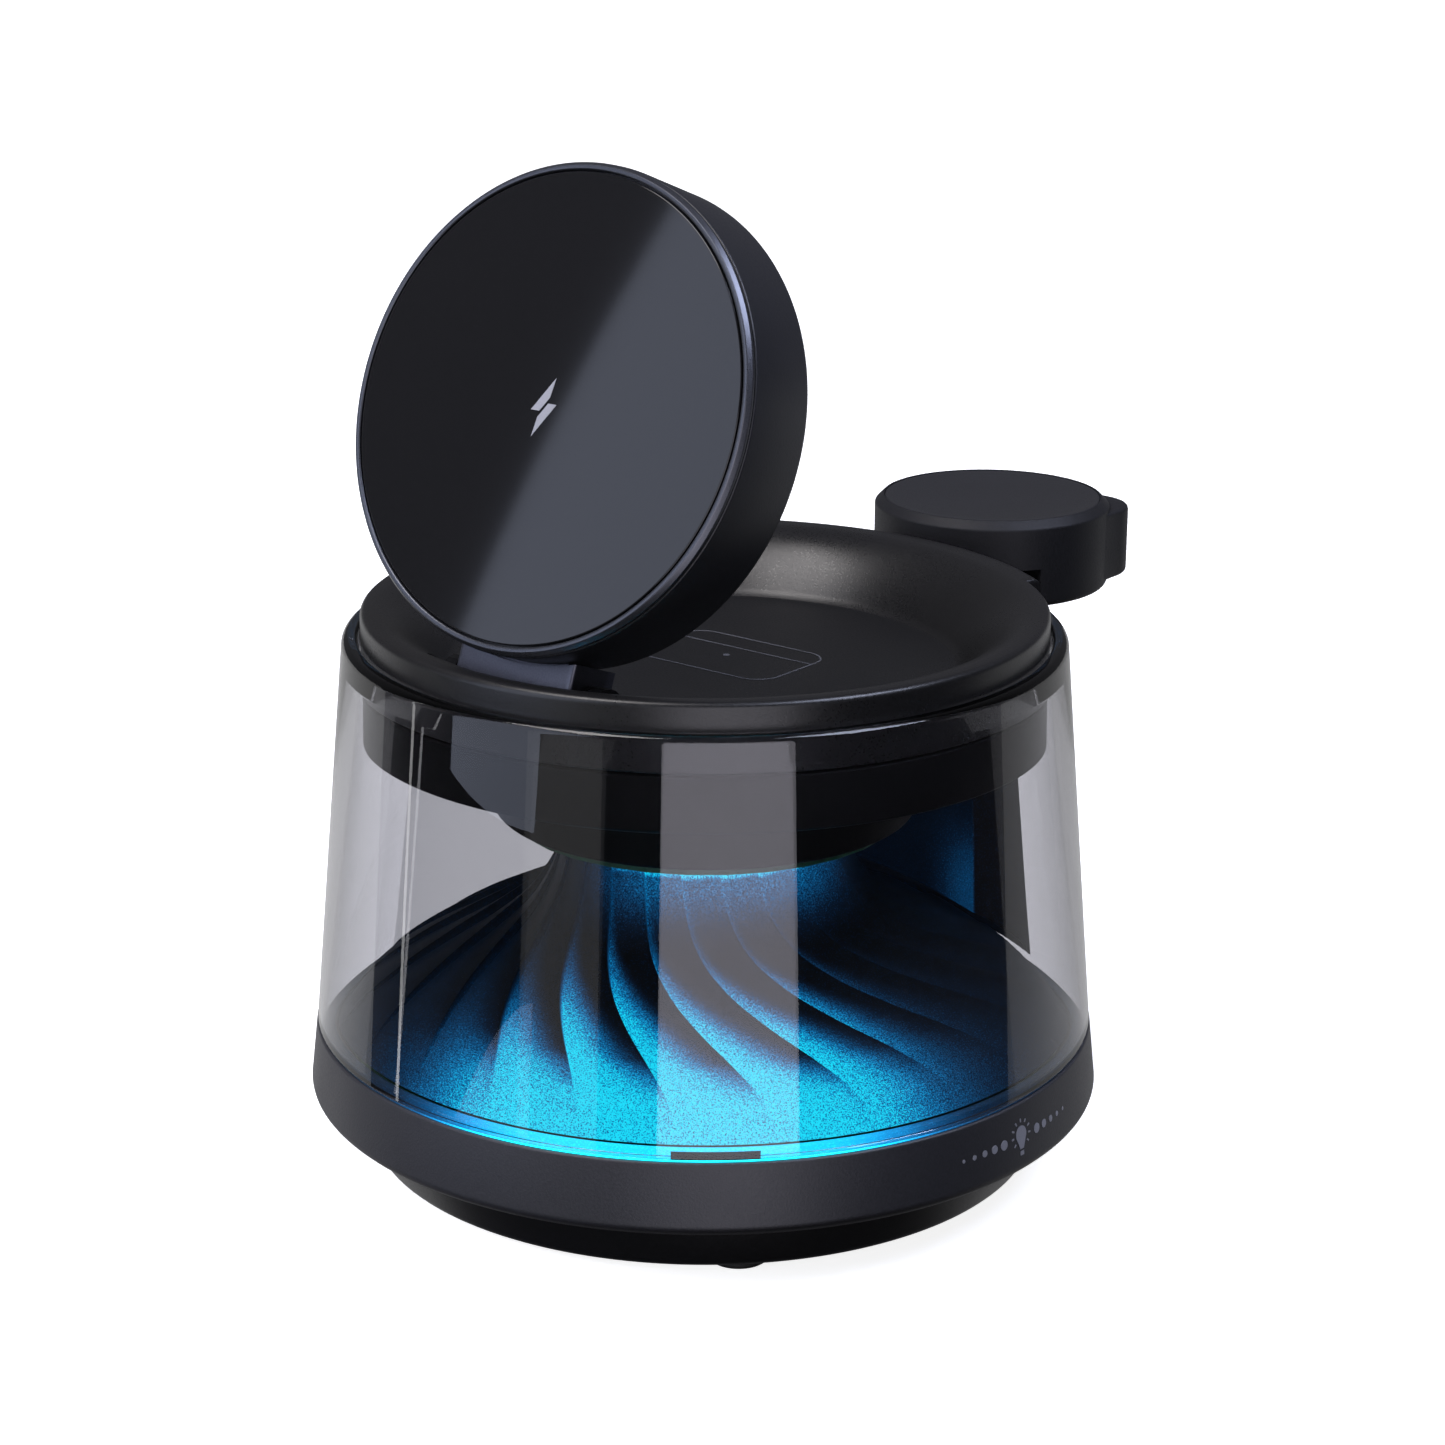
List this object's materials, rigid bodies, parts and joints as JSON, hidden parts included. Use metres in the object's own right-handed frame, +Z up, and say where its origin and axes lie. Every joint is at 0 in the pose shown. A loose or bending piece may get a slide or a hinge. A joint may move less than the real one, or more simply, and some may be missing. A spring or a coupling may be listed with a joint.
{
  "type": "bedside charging stand",
  "caption": "Round charging stand with a smoked lamp body, a dished lid, a fold-down phone disc on a front arm and a fold-down watch pod at the rear.",
  "frame": {"origin": "middle of the round base, on the surface that the stand rests on; the underside of the bottom cover is 0.9 mm above it", "axes": "+Z up; -Y towards the front, where the phone disc stands and faces; +Y towards the rear, where the watch pod and the power inlet are; +X to the right"},
  "size_m": [0.1, 0.1288, 0.1269],
  "materials": {
    "matt_black_plastic": "matt, very fine grain",
    "satin_black_plastic": "satin",
    "smoked_acrylic": "polished, see-through smoke grey",
    "reflector_black": "satin, fine texture, edge lit in cyan",
    "light_guide": "frosted, lit in cyan",
    "dark_glass": "polished dark glass",
    "satin_metal": "satin, dark anodised",
    "steel": "plain machined",
    "rubber": "matt",
    "circuit_board": "solder mask",
    "copper": "enamelled winding",
    "ferrite": "matt"
  },
  "bodies": {
    "stand": {"base_ring": "matt_black_plastic", "bottom_cover": "satin_black_plastic", "foot_front_left": "rubber", "foot_front_right": "rubber", "foot_rear_left": "rubber", "foot_rear_right": "rubber", "bottom_screw_1": "steel", "bottom_screw_2": "steel", "bottom_screw_3": "steel", "bottom_screw_4": "steel", "ballast_plate": "steel", "main_board": "circuit_board", "controller_chip": "satin_black_plastic", "power_inductor": "ferrite", "usb_c_socket": "steel", "usb_c_tongue": "satin_black_plastic", "touch_sensor": "circuit_board", "led_ring_lower": "circuit_board", "light_guide_ring": "light_guide", "swirl_reflector": "reflector_black", "rear_spine": "satin_black_plastic", "smoked_cover": "smoked_acrylic", "upper_housing": "satin_black_plastic", "lamp_hood": "satin_black_plastic", "led_ring_upper": "circuit_board", "upper_board": "circuit_board", "earbud_ferrite": "ferrite", "earbud_coil": "copper", "lid_dish": "matt_black_plastic", "phone_hinge_bracket": "steel", "phone_hinge_pin": "steel", "friction_washer_left": "steel", "friction_washer_right": "steel", "watch_hinge_bracket": "matt_black_plastic", "watch_hinge_pin": "steel"},
    "phone_charger": {"phone_arm": "satin_metal", "disc_rear_shell": "matt_black_plastic", "disc_bezel": "satin_metal", "disc_glass": "dark_glass", "phone_board": "circuit_board", "coil_tray": "satin_black_plastic", "phone_ferrite": "ferrite", "phone_coil": "copper", "magnet_ring": "steel"},
    "watch_charger": {"watch_pod_shell": "matt_black_plastic", "watch_pad": "satin_black_plastic", "watch_ferrite": "ferrite", "watch_coil": "copper", "watch_magnet": "steel", "watch_board": "circuit_board"}
  },
  "joints": [
    {"name": "phone_disc_fold", "type": "hinge", "parent": "stand", "child": "phone_charger", "pos_m": [0, -0.033, 0.066], "axis": [-1, 0, 0], "range_deg": [0, 69]},
    {"name": "watch_pod_fold", "type": "hinge", "parent": "stand", "child": "watch_charger", "pos_m": [0, 0.0508, 0.0623], "axis": [-1, 0, 0], "range_deg": [0, 90]}
  ]
}
